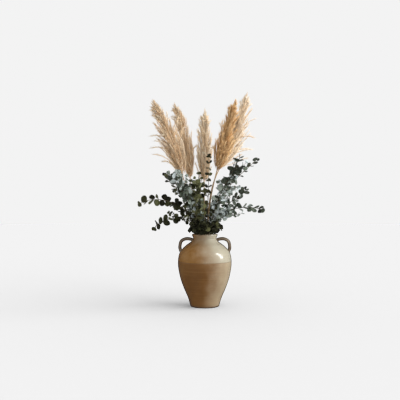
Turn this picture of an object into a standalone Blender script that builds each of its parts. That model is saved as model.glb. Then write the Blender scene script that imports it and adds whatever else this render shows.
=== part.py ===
"""A stoneware amphora vase holding a dried arrangement of pampas grass and eucalyptus.

The vase body and its two side handles are stoneware. A trimmed column of dry
floral foam stands on the vase floor and holds every stem in a hole of its own.
The foam lifts straight out of the mouth, and each stem pulls out of the foam
along its own straight lower length. Each pampas stem is a cane and a plume,
and each eucalyptus stem is one grown piece with its pairs of leaves.

Metres, +Z up. The origin is the centre of the vase foot. +X is the right handle,
and -Y is the front.
"""
import math
from collections import namedtuple

import bmesh
import bpy
from mathutils import Vector

# ---- vase -------------------------------------------------------------------
FOOT_RADIUS = 0.0575
BELLY_RADIUS = 0.1105
BELLY_HEIGHT = 0.178
NECK_RADIUS = 0.047
NECK_HEIGHT = 0.280
RIM_RADIUS = 0.0525
RIM_HEIGHT = 0.300
WALL = 0.005
FLOOR_THICKNESS = 0.008
TURNED_SEGMENTS = 36
# Outer radius and height at each turn of the wall, from the foot to the neck.
OUTER_WALL = (
    (FOOT_RADIUS + 0.0025, 0.004),
    (0.0695, 0.036),
    (0.0880, 0.080),
    (0.1025, 0.125),
    (BELLY_RADIUS, BELLY_HEIGHT),
    (0.1035, 0.222),
    (0.0800, 0.250),
    (0.0570, 0.267),
    (NECK_RADIUS, NECK_HEIGHT),
)

# ---- handles ----------------------------------------------------------------
HANDLE_THICKNESS = 0.0105
HANDLE_WIDTH = 0.020
HANDLE_SIDES = 10
HANDLE_RINGS = 15
# Distance out from the axis and height along a handle's middle, from neck to shoulder.
HANDLE_ROUTE = (
    (0.0410, 0.2690),
    (0.0580, 0.2785),
    (0.0800, 0.2800),
    (0.0975, 0.2710),
    (0.1035, 0.2540),
    (0.1030, 0.2370),
    (0.0930, 0.2160),
)

# ---- foam -------------------------------------------------------------------
FOAM_WIDTH = 0.060
FOAM_CORNER = 0.005
FOAM_TOP = 0.236
HOLE_SIDES = 8
HOLE_OVERRUN = 0.010
GAP = 0.0003

# ---- stems ------------------------------------------------------------------
STRAIGHT_TOP = 0.304
CANE_HOLE_DEPTH = 0.075
TWIG_HOLE_DEPTH = 0.050
CANE_RADIUS = 0.0030
CANE_TIP_RADIUS = 0.0020
CANE_SIDES = 6
TWIG_RADIUS = 0.0021
TWIG_TIP_RADIUS = 0.0011
# Half the side of a twig's square section, as a share of its radius.
TWIG_SQUARE = 0.75
SMALLEST_LEAF = 0.008
TIP_LEAF_TAPER = 0.35
BARE_TIP = 0.004
LEAF_THICKNESS = 0.0016
LEAF_PITCH = 30
PLUME_SIDES = 9
PLUME_RINGS = 9
PLUME_TIP = 0.12
PLUME_PEAK = 0.42
PLUME_RISE = 0.28

# A stem leaves the mouth at `azimuth` degrees (0 is +X, 270 the front) and bends
# over in that upright plane. `reach` and `height` place the end of its bend,
# `lean` is its tilt from upright there, `ring` is its hole's distance from the
# middle of the foam and `rake` is the tilt of its straight part.
Cane = namedtuple(
    "Cane", "name azimuth ring rake reach height lean plume nod radius"
)
CANES = (
    Cane("pampas_left_front", 203, 0.0135, 1.5, 0.099, 0.540, 17, 0.335, 6, 0.0400),
    Cane("pampas_left_back", 147, 0.0135, 1.5, 0.073, 0.532, 6, 0.338, 8, 0.0320),
    Cane("pampas_centre", 100, 0.0000, 1.0, 0.015, 0.515, -3, 0.305, 0, 0.0290),
    Cane("pampas_right_front", 322, 0.0135, 1.5, 0.062, 0.560, 18, 0.300, 0, 0.0330),
    Cane("pampas_right_back", 38, 0.0135, 1.5, 0.080, 0.575, 34, 0.372, -9, 0.0470),
)

# `first` is how far along its bend a stem's first pair of leaves is, `step` the
# distance from pair to pair, `size` the length of a full leaf, and `room` the
# leaf length allowed for each metre of distance from the vase axis.
Twig = namedtuple(
    "Twig", "name azimuth reach height lean first step size room"
)
TWIGS = (
    Twig("eucalyptus_right_middle", 8, 0.172, 0.484, 48, 0.055, 0.022, 0.023, 0.23),
    Twig("eucalyptus_right_wispy", 34, 0.278, 0.620, 52, 0.150, 0.036, 0.019, 0.25),
    Twig("eucalyptus_back_right", 62, 0.150, 0.470, 50, 0.060, 0.025, 0.023, 0.22),
    Twig("eucalyptus_back_centre", 90, 0.170, 0.420, 75, 0.050, 0.025, 0.023, 0.22),
    Twig("eucalyptus_back_left", 118, 0.150, 0.480, 48, 0.060, 0.025, 0.023, 0.22),
    Twig("eucalyptus_left_tall", 146, 0.208, 0.550, 42, 0.105, 0.024, 0.020, 0.20),
    Twig("eucalyptus_left_low", 166, 0.218, 0.324, 150, 0.045, 0.023, 0.022, 0.19),
    Twig("eucalyptus_left_arching", 193, 0.268, 0.430, 118, 0.065, 0.024, 0.024, 0.22),
    Twig("eucalyptus_left_fan", 216, 0.155, 0.538, 30, 0.060, 0.023, 0.024, 0.18),
    Twig("eucalyptus_left_upright", 252, 0.080, 0.545, 10, 0.110, 0.022, 0.019, 0.25),
    Twig("sprig_front_left", 236, 0.080, 0.340, 75, 0.020, 0.018, 0.018, 0.24),
    Twig("sprig_front_centre", 269, 0.090, 0.345, 70, 0.020, 0.018, 0.020, 0.25),
    Twig("eucalyptus_centre_thin", 286, 0.062, 0.622, 2, 0.170, 0.024, 0.015, 0.26),
    Twig("sprig_front_right", 303, 0.090, 0.335, 75, 0.020, 0.018, 0.020, 0.25),
    Twig("eucalyptus_right_tall", 320, 0.182, 0.610, 34, 0.085, 0.022, 0.024, 0.23),
    Twig("eucalyptus_right_low", 343, 0.240, 0.402, 112, 0.055, 0.022, 0.022, 0.20),
)
TWIG_RING = 0.0255
TWIG_RAKE = 5.5

UP = Vector((0, 0, 1))


def clear_scene():
    for old in list(bpy.data.objects):
        bpy.data.objects.remove(old, do_unlink=True)


def material(name, colour, roughness):
    made = bpy.data.materials.new(name)
    made.use_nodes = True
    shader = made.node_tree.nodes["Principled BSDF"]
    shader.inputs["Base Color"].default_value = (*colour, 1)
    shader.inputs["Roughness"].default_value = roughness
    shader.inputs["Metallic"].default_value = 0
    made.diffuse_color = (*colour, 1)
    return made


def add_object(name, bm, made_of, smooth_angle=40):
    """Turn a bmesh into a named object with one material."""
    bmesh.ops.recalc_face_normals(bm, faces=bm.faces)
    mesh = bpy.data.meshes.new(name)
    bm.to_mesh(mesh)
    bm.free()
    mesh.materials.append(made_of)
    mesh.shade_smooth()
    mesh.set_sharp_from_angle(angle=math.radians(smooth_angle))
    made = bpy.data.objects.new(name, mesh)
    bpy.context.scene.collection.objects.link(made)
    return made


def curve_through(points, samples):
    """Points on a Catmull-Rom curve through the given ones, as (out, up) pairs."""
    ends = [2 * points[0] - points[1], *points, 2 * points[-1] - points[-2]]
    found = []
    for i in range(samples):
        at = i / (samples - 1) * (len(points) - 1)
        k = min(int(at), len(points) - 2)
        t = at - k
        a, b, c, d = ends[k : k + 4]
        found.append(
            0.5
            * (
                2 * b
                + (c - a) * t
                + (2 * a - 5 * b + 4 * c - d) * t**2
                + (3 * b - a - 3 * c + d) * t**3
            )
        )
    return found


def turned(profile, segments=TURNED_SEGMENTS):
    """A bmesh turned about Z from (radius, height) pairs that start and end on the axis."""
    bm = bmesh.new()
    rings = []
    for radius, height in profile:
        if radius == 0:
            rings.append([bm.verts.new((0, 0, height))] * segments)
            continue
        rings.append(
            [
                bm.verts.new(
                    (
                        radius * math.cos(math.tau * i / segments),
                        radius * math.sin(math.tau * i / segments),
                        height,
                    )
                )
                for i in range(segments)
            ]
        )
    for low, high in zip(rings, rings[1:]):
        for i in range(segments):
            j = (i + 1) % segments
            corners = [low[i], low[j], high[j], high[i]]
            bm.faces.new(list(dict.fromkeys(corners)))
    return bm


def swept(centres, frames, section):
    """A bmesh swept along centres, where section(k) gives ring k's (across, over) pairs."""
    bm = bmesh.new()
    rings = []
    for k, (centre, (across, over)) in enumerate(zip(centres, frames)):
        rings.append(
            [bm.verts.new(centre + across * a + over * b) for a, b in section(k)]
        )
    sides = len(rings[0])
    for low, high in zip(rings, rings[1:]):
        for i in range(sides):
            j = (i + 1) % sides
            bm.faces.new((low[i], low[j], high[j], high[i]))
    bm.faces.new(list(reversed(rings[0])))
    bm.faces.new(rings[-1])
    return bm


def tangents(points):
    """Unit directions along a row of points."""
    found = []
    for k in range(len(points)):
        ahead = points[min(k + 1, len(points) - 1)]
        behind = points[max(k - 1, 0)]
        found.append((ahead - behind).normalized())
    return found


# ---- vase -------------------------------------------------------------------
def outer_profile(grow=0.0):
    """The outer wall from the foot up to the neck, moved out by grow."""
    stations = [Vector((r, z)) for r, z in OUTER_WALL]
    return [Vector((p.x + grow, p.y)) for p in curve_through(stations, 17)]


def vase_profile():
    outer = outer_profile()
    lean_in = tangents(outer)
    inner = [
        p + Vector((-t.y, t.x)) * WALL
        for p, t in zip(outer, lean_in)
        if p.y > FLOOR_THICKNESS + 2 * WALL
    ]
    foot = [Vector((0, 0)), Vector((FOOT_RADIUS, 0))]
    rim = [
        Vector((RIM_RADIUS - 0.0025, RIM_HEIGHT - 0.0110)),
        Vector((RIM_RADIUS, RIM_HEIGHT - 0.0055)),
        Vector((RIM_RADIUS - 0.0010, RIM_HEIGHT - 0.0015)),
        Vector((RIM_RADIUS - 0.0035, RIM_HEIGHT)),
        Vector((RIM_RADIUS - 0.0070, RIM_HEIGHT - 0.0020)),
        Vector((NECK_RADIUS - WALL + 0.0012, RIM_HEIGHT - 0.0120)),
    ]
    floor = [
        Vector((FOOT_RADIUS - WALL, FLOOR_THICKNESS + 0.0040)),
        Vector((FOOT_RADIUS - WALL - 0.0080, FLOOR_THICKNESS)),
        Vector((0, FLOOR_THICKNESS)),
    ]
    return foot + outer + rim + list(reversed(inner)) + floor


def make_vase(stoneware):
    return add_object("vase_body", turned(vase_profile()), stoneware)


def make_handle(name, side, stoneware):
    """A pulled strap from the neck to the shoulder, cut to the wall with a hair's gap."""
    route = [Vector((side * x, 0, z)) for x, z in HANDLE_ROUTE]
    centres = curve_through(route, HANDLE_RINGS)
    ahead = tangents(centres)
    frames = [(Vector((0, 1, 0)), t.cross(Vector((0, 1, 0)))) for t in ahead]

    def section(k):
        end = abs(2 * k / (HANDLE_RINGS - 1) - 1)
        width = HANDLE_WIDTH * (0.90 + 0.25 * end**4)
        thick = HANDLE_THICKNESS * (1.00 + 0.15 * end**4)
        turns = [math.tau * i / HANDLE_SIDES for i in range(HANDLE_SIDES)]
        return [(0.5 * width * math.cos(t), 0.5 * thick * math.sin(t)) for t in turns]

    handle = add_object(name, swept(centres, frames, section), stoneware)
    core = outer_profile(GAP)
    low, high = core[0].y, core[-1].y
    profile = [Vector((0, low)), *core, Vector((0, high))]
    cutter = add_object("cutter_" + name, turned(profile), stoneware)
    cutter.hide_render = True
    cutter.display_type = "WIRE"
    cut = handle.modifiers.new("fit_to_wall", "BOOLEAN")
    cut.object = cutter
    cut.operation = "DIFFERENCE"
    cut.solver = "EXACT"
    return handle


# ---- stems ------------------------------------------------------------------
def straight_run(azimuth, ring, rake):
    """Where a stem crosses the foam's top face, and the direction of its straight part."""
    turn = math.radians(azimuth)
    out = Vector((math.cos(turn), math.sin(turn), 0))
    tilt = math.radians(rake)
    ahead = out * math.sin(tilt) + UP * math.cos(tilt)
    return out * ring + UP * FOAM_TOP, ahead, out


def stem_point(entry, ahead, height):
    """The point on a straight run at a given height."""
    return entry + ahead * ((height - entry.z) / ahead.z)


def bend(start, ahead, end, end_direction, samples, handles=(0.42, 0.34)):
    """Points on the curve a stem takes from its straight part to the end of its bend."""
    chord = (end - start).length
    first = start + ahead * chord * handles[0]
    second = end - end_direction * chord * handles[1]
    found = []
    for i in range(samples):
        t = i / (samples - 1)
        u = 1 - t
        found.append(
            start * u**3 + first * 3 * u**2 * t + second * 3 * u * t**2 + end * t**3
        )
    return found


def tilted(out, degrees):
    tilt = math.radians(degrees)
    return out * math.sin(tilt) + UP * math.cos(tilt)


def upright_frames(out, directions):
    """Across and over vectors for each direction of a stem that bends in one plane."""
    across = UP.cross(out)
    return [(across, d.cross(across)) for d in directions]


def round_section(radius, sides):
    return [
        (
            radius * math.cos(math.tau * i / sides),
            radius * math.sin(math.tau * i / sides),
        )
        for i in range(sides)
    ]


def make_hole(name, entry, ahead, radius, depth, foam):
    """A blind hole that follows a stem's straight part down into the foam."""
    ends = [stem_point(entry, ahead, FOAM_TOP - depth - GAP), entry + ahead * HOLE_OVERRUN]
    out = ahead.cross(Vector((0.3, 1, 0))).normalized()
    frames = [(out, ahead.cross(out))] * 2
    reach = (radius + GAP) / math.cos(math.pi / HOLE_SIDES)
    bm = swept(ends, frames, lambda k: round_section(reach, HOLE_SIDES))
    cutter = add_object("cutter_" + name, bm, foam.data.materials[0])
    cutter.hide_render = True
    cutter.display_type = "WIRE"
    cut = foam.modifiers.new("hole_" + name, "BOOLEAN")
    cut.object = cutter
    cut.operation = "DIFFERENCE"
    cut.solver = "EXACT"


def make_cane(cane, straw, fluff, foam):
    entry, ahead, out = straight_run(cane.azimuth, cane.ring, cane.rake)
    bottom = stem_point(entry, ahead, FOAM_TOP - CANE_HOLE_DEPTH)
    start = stem_point(entry, ahead, STRAIGHT_TOP)
    end = out * cane.reach + UP * cane.height
    top = tilted(out, cane.lean)
    centres = [bottom, *bend(start, ahead, end, top, 8)]
    directions = tangents(centres)
    directions[0] = ahead
    directions[-1] = top
    frames = upright_frames(out, directions)

    def section(k):
        share = max(0.0, (centres[k].z - STRAIGHT_TOP) / (end.z - STRAIGHT_TOP))
        radius = CANE_RADIUS + (CANE_TIP_RADIUS - CANE_RADIUS) * share
        return round_section(radius, CANE_SIDES)

    add_object(cane.name + "_cane", swept(centres, frames, section), straw)
    make_hole(cane.name, entry, ahead, CANE_RADIUS, CANE_HOLE_DEPTH, foam)
    make_plume(cane, end + top * GAP, top, out, fluff)


def swell(along):
    """A plume's radius as a share of its widest, which is at PLUME_PEAK of its length."""
    rise = (along / PLUME_PEAK) ** PLUME_RISE
    fall = ((1 - along) / (1 - PLUME_PEAK)) ** (PLUME_RISE * (1 - PLUME_PEAK) / PLUME_PEAK)
    return rise * fall


def make_plume(cane, base, direction, out, fluff):
    """The plume's outer shape: a spindle, widest at PLUME_PEAK of its length, nodding over."""
    tip = base + tilted(out, cane.lean + cane.nod) * cane.plume
    nod = tilted(out, cane.lean + 2 * cane.nod)
    centres = bend(base, direction, tip, nod, PLUME_RINGS, (0.33, 0.33))
    frames = upright_frames(out, tangents(centres))
    frames[0] = upright_frames(out, [direction])[0]

    def section(k):
        along = k / (PLUME_RINGS - 1)
        return round_section(cane.radius * max(swell(along), PLUME_TIP), PLUME_SIDES)

    add_object(cane.name + "_plume", swept(centres, frames, section), fluff, 80)


def leaf_outline(size):
    """Distance along a leaf and half its width, from the stem to the tip."""
    return ((0.30 * size, 0.42 * size), (0.72 * size, 0.50 * size), (size, 0.20 * size))


def add_leaf(bm, stem_corners, centre, outward, along, size):
    """Grow a flat leaf, pitched about its own midrib, from four corners on the stem."""
    pitch = math.radians(LEAF_PITCH)
    level = along.cross(outward)
    across = level * math.cos(pitch) + along * math.sin(pitch)
    up = along * math.cos(pitch) - level * math.sin(pitch)
    ring = stem_corners
    for distance, half_width in leaf_outline(size):
        middle = centre + outward * distance
        corners = [
            middle + across * (width * half_width) + up * (thick * 0.5 * LEAF_THICKNESS)
            for width, thick in ((-1, -1), (1, -1), (1, 1), (-1, 1))
        ]
        new_ring = [bm.verts.new(c) for c in corners]
        for i in range(4):
            j = (i + 1) % 4
            bm.faces.new((ring[i], ring[j], new_ring[j], new_ring[i]))
        ring = new_ring
    bm.faces.new(ring)


def path_lengths(points):
    """How far along a row of points each one is."""
    total = [0.0]
    for a, b in zip(points, points[1:]):
        total.append(total[-1] + (b - a).length)
    return total


def point_at(points, lengths, distance):
    """The point and direction at a distance along a fine path."""
    for k in range(1, len(points)):
        if lengths[k] >= distance:
            break
    a, b = points[k - 1], points[k]
    share = (distance - lengths[k - 1]) / (lengths[k] - lengths[k - 1])
    return a.lerp(b, share), (b - a).normalized()


def make_twig(twig, leafy, foam):
    """A square eucalyptus stem with opposite pairs of leaves, each pair turned from the last."""
    entry, ahead, out = straight_run(twig.azimuth, TWIG_RING, TWIG_RAKE)
    bottom = stem_point(entry, ahead, FOAM_TOP - TWIG_HOLE_DEPTH)
    start = stem_point(entry, ahead, STRAIGHT_TOP)
    end = out * twig.reach + UP * twig.height
    fine = bend(start, ahead, end, tilted(out, twig.lean), 40)
    lengths = path_lengths(fine)
    across = UP.cross(out)

    count = int((lengths[-1] - twig.first - BARE_TIP) / twig.step) + 1
    pairs = [twig.first + k * twig.step for k in range(count)]
    stations = [(bottom, ahead, 0, None), (start, ahead, 0, None)]
    for k, distance in enumerate(pairs):
        centre, direction = point_at(fine, lengths, distance)
        for side in (-1, 1):
            ring_centre = centre + direction * side * 0.5 * LEAF_THICKNESS
            stations.append((ring_centre, direction, distance, (k, centre) if side > 0 else None))
    stations.append((fine[-1], tilted(out, twig.lean), lengths[-1], None))

    bm = bmesh.new()
    previous = None
    for ring_centre, direction, distance, pair in stations:
        radius = TWIG_RADIUS + (TWIG_TIP_RADIUS - TWIG_RADIUS) * distance / lengths[-1]
        over = direction.cross(across)
        sides = [across, over, -across, -over]
        ring = [
            bm.verts.new(ring_centre + (sides[i] + sides[(i + 1) % 4]) * radius * TWIG_SQUARE)
            for i in range(4)
        ]
        if previous is None:
            bm.faces.new(list(reversed(ring)))
        else:
            # Face i runs between corners i-1 and i, and looks along sides[i].
            for i in range(4):
                corners = (previous[i - 1], previous[i], ring[i], ring[i - 1])
                if pair and i % 2 == pair[0] % 2:
                    centre = pair[1]
                    reach = centre.to_2d().length * twig.room
                    tip_taper = 1 - TIP_LEAF_TAPER * (distance / lengths[-1]) ** 2
                    size = min(twig.size * tip_taper, max(reach, SMALLEST_LEAF))
                    add_leaf(bm, corners, centre, sides[i], direction, size)
                else:
                    bm.faces.new(corners)
        previous = ring
    bm.faces.new(previous)
    add_object(twig.name, bm, leafy)
    corner = TWIG_RADIUS * TWIG_SQUARE * math.sqrt(2)
    make_hole(twig.name, entry, ahead, corner, TWIG_HOLE_DEPTH, foam)


def make_foam(foam_material):
    bm = bmesh.new()
    half = FOAM_WIDTH / 2
    inner = half - FOAM_CORNER
    outline = [
        (half, -inner),
        (half, inner),
        (inner, half),
        (-inner, half),
        (-half, inner),
        (-half, -inner),
        (-inner, -half),
        (inner, -half),
    ]
    ring = [bm.verts.new((x, y, FLOOR_THICKNESS + GAP)) for x, y in outline]
    face = bm.faces.new(ring)
    grown = bmesh.ops.extrude_face_region(bm, geom=[face])
    lifted = [v for v in grown["geom"] if isinstance(v, bmesh.types.BMVert)]
    bmesh.ops.translate(bm, verts=lifted, vec=(0, 0, FOAM_TOP - FLOOR_THICKNESS - GAP))
    return add_object("foam_column", bm, foam_material, 20)


def main():
    clear_scene()
    stoneware = material("glazed_stoneware", (0.34, 0.22, 0.12), 0.35)
    green_foam = material("dry_foam", (0.13, 0.17, 0.10), 0.95)
    straw = material("pampas_cane", (0.52, 0.38, 0.22), 0.60)
    fluff = material("pampas_plume", (0.50, 0.35, 0.22), 0.95)
    leafy = material("eucalyptus", (0.10, 0.13, 0.10), 0.65)

    make_vase(stoneware)
    make_handle("handle_left", -1, stoneware)
    make_handle("handle_right", 1, stoneware)
    foam = make_foam(green_foam)
    for cane in CANES:
        make_cane(cane, straw, fluff, foam)
    for twig in TWIGS:
        make_twig(twig, leafy, foam)


main()
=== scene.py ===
"""The looks of a stoneware amphora with dried pampas grass and eucalyptus.

Everything is in metres in the frame of the CAD model: +Z up, the origin at the
centre of the vase's foot, +X towards the right handle and -Y towards the viewer.
"""

import math
from collections import namedtuple

import bpy
import numpy as np
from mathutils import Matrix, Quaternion, Vector


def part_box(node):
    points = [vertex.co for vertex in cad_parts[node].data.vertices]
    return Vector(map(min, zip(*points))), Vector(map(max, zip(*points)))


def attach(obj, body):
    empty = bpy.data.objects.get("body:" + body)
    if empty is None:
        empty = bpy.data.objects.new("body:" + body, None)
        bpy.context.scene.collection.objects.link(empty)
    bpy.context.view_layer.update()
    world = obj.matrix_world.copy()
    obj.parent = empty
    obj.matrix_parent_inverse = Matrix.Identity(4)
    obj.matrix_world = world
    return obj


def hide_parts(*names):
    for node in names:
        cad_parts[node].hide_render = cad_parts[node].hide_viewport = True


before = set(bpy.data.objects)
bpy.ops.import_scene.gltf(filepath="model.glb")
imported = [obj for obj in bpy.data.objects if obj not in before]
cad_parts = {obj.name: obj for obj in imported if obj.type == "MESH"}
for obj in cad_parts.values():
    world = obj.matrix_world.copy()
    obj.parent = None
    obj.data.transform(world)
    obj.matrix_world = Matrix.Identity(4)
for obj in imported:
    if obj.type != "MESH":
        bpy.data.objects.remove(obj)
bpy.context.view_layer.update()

# ---- sizes shared with the CAD model, with outlines as (radius, height) rows ----
FOOT_RADIUS = 0.0575
BELLY_RADIUS = 0.1105
BELLY_HEIGHT = 0.178
NECK_RADIUS = 0.047
NECK_HEIGHT = 0.280
RIM_RADIUS = 0.0525
RIM_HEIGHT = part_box("vase_body")[1].z
WALL = 0.005
FLOOR_THICKNESS = 0.008
OUTER_WALL = (
    (FOOT_RADIUS + 0.0025, 0.004),
    (0.0695, 0.036),
    (0.0880, 0.080),
    (0.1025, 0.125),
    (BELLY_RADIUS, BELLY_HEIGHT),
    (0.1035, 0.222),
    (0.0800, 0.250),
    (0.0570, 0.267),
    (NECK_RADIUS, NECK_HEIGHT),
)
FOOT = ((FOOT_RADIUS - 0.002, 0.0), (FOOT_RADIUS, 0.0004), (FOOT_RADIUS + 0.0015, 0.0016))
RIM = (
    (NECK_RADIUS + 0.0003, NECK_HEIGHT + 0.003),
    (NECK_RADIUS + 0.0020, NECK_HEIGHT + 0.0085),
    (RIM_RADIUS - 0.0012, RIM_HEIGHT - 0.0075),
    (RIM_RADIUS, RIM_HEIGHT - 0.0045),
    (RIM_RADIUS - 0.0008, RIM_HEIGHT - 0.0014),
    (RIM_RADIUS - 0.0035, RIM_HEIGHT),
    (RIM_RADIUS - 0.0064, RIM_HEIGHT - 0.0014),
    (RIM_RADIUS - 0.0084, RIM_HEIGHT - 0.0060),
    (NECK_RADIUS - WALL + 0.0010, RIM_HEIGHT - 0.0120),
)
FLOOR = (
    (FOOT_RADIUS - WALL - 0.001, FLOOR_THICKNESS + 0.003),
    (FOOT_RADIUS - WALL - 0.006, FLOOR_THICKNESS),
)
HANDLE_THICKNESS = 0.0105
HANDLE_WIDTH = 0.020
HANDLE_ROUTE = (
    (0.0410, 0.2690),
    (0.0580, 0.2785),
    (0.0800, 0.2800),
    (0.0975, 0.2710),
    (0.1035, 0.2540),
    (0.1030, 0.2370),
    (0.0930, 0.2160),
)
FOAM_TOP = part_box("foam_column")[1].z
STRAIGHT_TOP = 0.304
CANE_HOLE_DEPTH = 0.075
TWIG_HOLE_DEPTH = 0.050
CANE_RADIUS = 0.0030
CANE_TIP_RADIUS = 0.0020
TWIG_RADIUS = 0.0021
TWIG_TIP_RADIUS = 0.0011
TWIG_RING = 0.0255
TWIG_RAKE = 5.5
PLUME_PEAK = 0.42
PLUME_RISE = 0.28

# A stem leaves the mouth at `azimuth` and bends over in that upright plane to
# `reach` and `height`, where its tilt is `lean`. Angles are in degrees.
Cane = namedtuple("Cane", "name azimuth ring rake reach height lean plume nod radius tint wisps")
CANES = (
    Cane("pampas_left_front", 203, 0.0135, 1.5, 0.099, 0.540, 17, 0.335, 6, 0.0400, "fawn", 12),
    Cane("pampas_left_back", 147, 0.0135, 1.5, 0.073, 0.532, 6, 0.338, 8, 0.0320, "fawn", 5),
    Cane("pampas_centre", 100, 0.0000, 1.0, 0.015, 0.515, -3, 0.305, 0, 0.0290, "sand", 6),
    Cane("pampas_right_front", 322, 0.0135, 1.5, 0.062, 0.560, 18, 0.300, 0, 0.0330, "amber", 4),
    Cane("pampas_right_back", 38, 0.0135, 1.5, 0.080, 0.575, 34, 0.372, -9, 0.0470, "cream", 14),
)

# Leaves of up to `size` stand in pairs from `first` along the bend, a `step` apart, and near the
# vase's axis are no longer than `room` times their distance from it. Their tone goes from `tone`
# to `tip`, 0 the darkest and 1 the palest. `shoots` leafy side shoots stand along the first
# `bushy` share of the bend, hang by `droop` and point mostly towards the azimuth `side`, or the
# twig's own where that is None.
Twig = namedtuple(
    "Twig",
    "name azimuth reach height lean first step size room colour tone tip shoots bushy droop side",
    defaults=(0.5, 0.0, None),
)
TWIGS = (
    Twig("eucalyptus_right_middle", 8, 0.172, 0.484, 48, 0.055, 0.022, 0.023, 0.23, "silver", 0.55, 0.0, 4),
    Twig("eucalyptus_right_wispy", 34, 0.278, 0.620, 52, 0.150, 0.036, 0.019, 0.25, "silver", 0.85, 0.1, 2),
    Twig("eucalyptus_back_right", 62, 0.150, 0.470, 50, 0.060, 0.025, 0.023, 0.22, "silver", 0.4, 0.6, 5),
    Twig("eucalyptus_back_centre", 90, 0.170, 0.420, 75, 0.050, 0.025, 0.023, 0.22, "olive", 0.3, 0.5, 5),
    Twig(
        "eucalyptus_back_left", 118, 0.150, 0.480, 48, 0.060, 0.025, 0.023, 0.22, "olive", 0.4, 0.6,
        shoots=5, bushy=0.80,
    ),
    Twig(
        "eucalyptus_left_tall", 146, 0.208, 0.550, 42, 0.105, 0.024, 0.020, 0.20, "olive", 0.4, 0.1,
        shoots=5, bushy=0.60,
    ),
    Twig("eucalyptus_left_low", 166, 0.218, 0.324, 150, 0.045, 0.023, 0.022, 0.19, "olive", 0.3, 0.3, 1),
    Twig(
        "eucalyptus_left_arching", 193, 0.268, 0.430, 118, 0.065, 0.024, 0.024, 0.22, "olive", 0.3, 0.4,
        shoots=3,
    ),
    Twig(
        "eucalyptus_left_fan", 216, 0.155, 0.538, 30, 0.060, 0.023, 0.024, 0.18, "silver", 0.5, 0.45,
        shoots=19, bushy=0.97, side=350,
    ),
    Twig(
        "eucalyptus_left_upright", 252, 0.080, 0.545, 10, 0.110, 0.022, 0.019, 0.25, "olive", 0.7, 0.4,
        shoots=16, bushy=0.74, side=180,
    ),
    Twig(
        "sprig_front_left", 236, 0.080, 0.340, 75, 0.020, 0.018, 0.018, 0.24, "olive", 0.0, 0.2,
        shoots=12, bushy=0.7, droop=0.35,
    ),
    Twig(
        "sprig_front_centre", 269, 0.090, 0.345, 70, 0.020, 0.018, 0.020, 0.25, "olive", 0.0, 0.2,
        shoots=9, bushy=0.60, droop=0.35,
    ),
    Twig("eucalyptus_centre_thin", 286, 0.062, 0.622, 2, 0.170, 0.024, 0.015, 0.26, "olive", 0.3, 0.0, 2),
    Twig(
        "sprig_front_right", 303, 0.090, 0.335, 75, 0.020, 0.018, 0.020, 0.25, "olive", 0.0, 0.3,
        shoots=5, bushy=0.60, droop=0.15,
    ),
    Twig(
        "eucalyptus_right_tall", 320, 0.182, 0.610, 34, 0.085, 0.022, 0.024, 0.23, "silver", 1.0, -0.2,
        shoots=13, bushy=0.86, side=20,
    ),
    Twig("eucalyptus_right_low", 343, 0.240, 0.402, 112, 0.055, 0.022, 0.022, 0.20, "silver", 0.65, 0.3, 4),
)

UP = np.array((0.0, 0.0, 1.0))
GOLDEN = math.pi * (3 - math.sqrt(5))
BEND_POINTS = 60


# ---- small geometry ----
def unit(rows):
    rows = np.asarray(rows, float)
    return rows / np.linalg.norm(rows, axis=-1, keepdims=True)


def tilted(out, degrees):
    tilt = math.radians(degrees)
    return out * math.sin(tilt) + UP * math.cos(tilt)


def curve_through(points, samples):
    """Points on a Catmull-Rom curve through the given ones."""
    points = np.asarray(points, float)
    ends = np.vstack((2 * points[0] - points[1], points, 2 * points[-1] - points[-2]))
    at = np.linspace(0, len(points) - 1, samples)
    k = np.minimum(at.astype(int), len(points) - 2)
    t = (at - k)[:, None]
    a, b, c, d = ends[k], ends[k + 1], ends[k + 2], ends[k + 3]
    square, cube = 2 * a - 5 * b + 4 * c - d, 3 * b - a - 3 * c + d
    return 0.5 * (2 * b + (c - a) * t + square * t**2 + cube * t**3)


def bend(start, ahead, end, end_direction, samples, handles=(0.42, 0.34)):
    """Points on the curve a stem takes from its straight part to the end of its bend."""
    chord = np.linalg.norm(end - start)
    first = start + ahead * chord * handles[0]
    second = end - end_direction * chord * handles[1]
    t = np.linspace(0, 1, samples)[:, None]
    u = 1 - t
    return start * u**3 + first * 3 * u**2 * t + second * 3 * u * t**2 + end * t**3


def directions(points):
    return unit(np.gradient(np.asarray(points, float), axis=0))


def straight_run(azimuth, ring, rake):
    """Where a stem crosses the foam's top, the direction of its straight part, and outwards."""
    turn = math.radians(azimuth)
    out = np.array((math.cos(turn), math.sin(turn), 0.0))
    return out * ring + UP * FOAM_TOP, tilted(out, rake), out


def on_run(entry, ahead, height):
    return entry + ahead * ((height - entry[2]) / ahead[2])


def lengths_along(points):
    steps = np.linalg.norm(np.diff(points, axis=0), axis=1)
    return np.concatenate(((0.0,), np.cumsum(steps)))


def sample(rows, at, where):
    """Rows read at the places `where`, between the places `at` they stand at."""
    return np.stack([np.interp(where, at, rows[:, i]) for i in range(3)], axis=-1)


# ---- mesh building ----
SHARP_EDGE = math.radians(50)


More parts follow.
